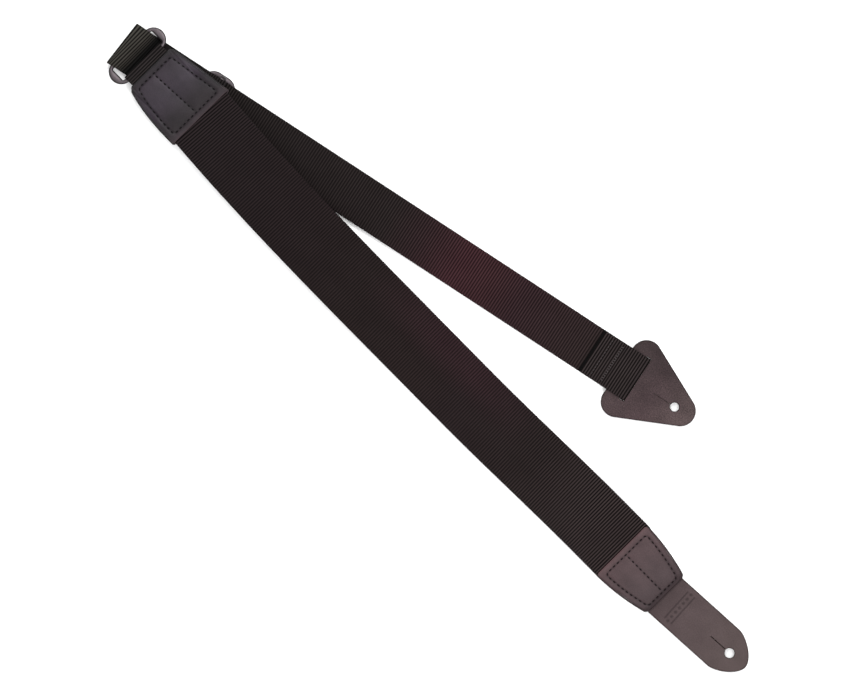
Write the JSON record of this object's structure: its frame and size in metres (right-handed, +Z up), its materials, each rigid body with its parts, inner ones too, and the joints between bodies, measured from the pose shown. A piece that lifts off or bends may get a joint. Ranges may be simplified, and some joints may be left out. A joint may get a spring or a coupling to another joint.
{
  "type": "guitar strap",
  "caption": "Padded guitar strap laid flat, with an adjuster strap through an oval ring and a sliding glide, and leather tabs for strap buttons.",
  "frame": {"origin": "middle of the laid-out strap, on the surface it lies on", "axes": "+X along the pad from the ring end to the button-tab end, +Y to the side the adjuster strap fans out to, +Z up from the surface"},
  "size_m": [0.6888, 0.1616, 0.0184],
  "materials": {
    "ribbed_fabric": "matte",
    "neoprene": "matte",
    "lining": "matte",
    "webbing": "matte",
    "patch_leather": "satin",
    "tab_leather": "matte",
    "thread": "satin",
    "ring_metal": "satin"
  },
  "bodies": {
    "pad": {"pad_face": "ribbed_fabric", "pad_core": "neoprene", "stay_webbing": "webbing", "pad_backing": "lining", "upper_patch_front": "patch_leather", "upper_patch_back": "patch_leather", "upper_edge_thread": "thread", "upper_centre_thread": "thread", "lower_patch_front": "patch_leather", "lower_patch_back": "patch_leather", "lower_edge_thread": "thread", "lower_centre_thread": "thread", "anchor_webbing": "webbing", "button_tab_root": "tab_leather"},
    "ring": {"oval_ring": "ring_metal"},
    "adjuster_loop": {"adjuster_fold": "webbing", "adjuster_short_leg": "webbing", "adjuster_long_leg": "webbing"},
    "glide": {"tri_glide": "ring_metal", "glide_end_loop": "webbing", "glide_loop_thread": "thread"},
    "strap_end": {"strap_end_loop": "webbing", "tail_row_thread": "thread", "tail_zigzag_thread": "thread", "end_tab_root": "tab_leather"},
    "end_leather": {"end_tab": "tab_leather"},
    "button_leather": {"button_tab": "tab_leather"}
  },
  "joints": [
    {"name": "ring_swivel", "type": "hinge", "parent": "pad", "child": "ring", "pos_m": [-0.31795, -0.04835, 0.00841], "axis": [0, 1, 0], "range_deg": [0, 120]},
    {"name": "strap_unfold", "type": "hinge", "parent": "ring", "child": "adjuster_loop", "pos_m": [-0.33395, -0.04835, 0.00601], "axis": [0, 1, 0], "range_deg": [0, 180]},
    {"name": "glide_slide", "type": "slide", "parent": "adjuster_loop", "child": "glide", "axis": [0.9774, 0.2113, 0], "range_m": [-0.03, 0.155], "deforming": ["adjuster_short_leg"]},
    {"name": "strap_end_slide", "type": "slide", "parent": "adjuster_loop", "child": "strap_end", "axis": [0.9774, 0.2113, 0], "range_m": [-0.155, 0.03], "deforming": ["adjuster_long_leg"]},
    {"name": "end_tab_flex", "type": "hinge", "parent": "strap_end", "child": "end_leather", "pos_m": [0.13428, 0.05125, 0.00291], "axis": [-0.2113, 0.9774, 0], "range_deg": [-75, 75]},
    {"name": "button_tab_flex", "type": "hinge", "parent": "pad", "child": "button_leather", "pos_m": [0.26805, -0.05041, 0.00311], "axis": [-0.0593, 0.9982, 0], "range_deg": [-75, 75]}
  ],
  "couplings": [
    {"joint": "strap_end_slide", "follows": "glide_slide", "ratio": -1}
  ]
}
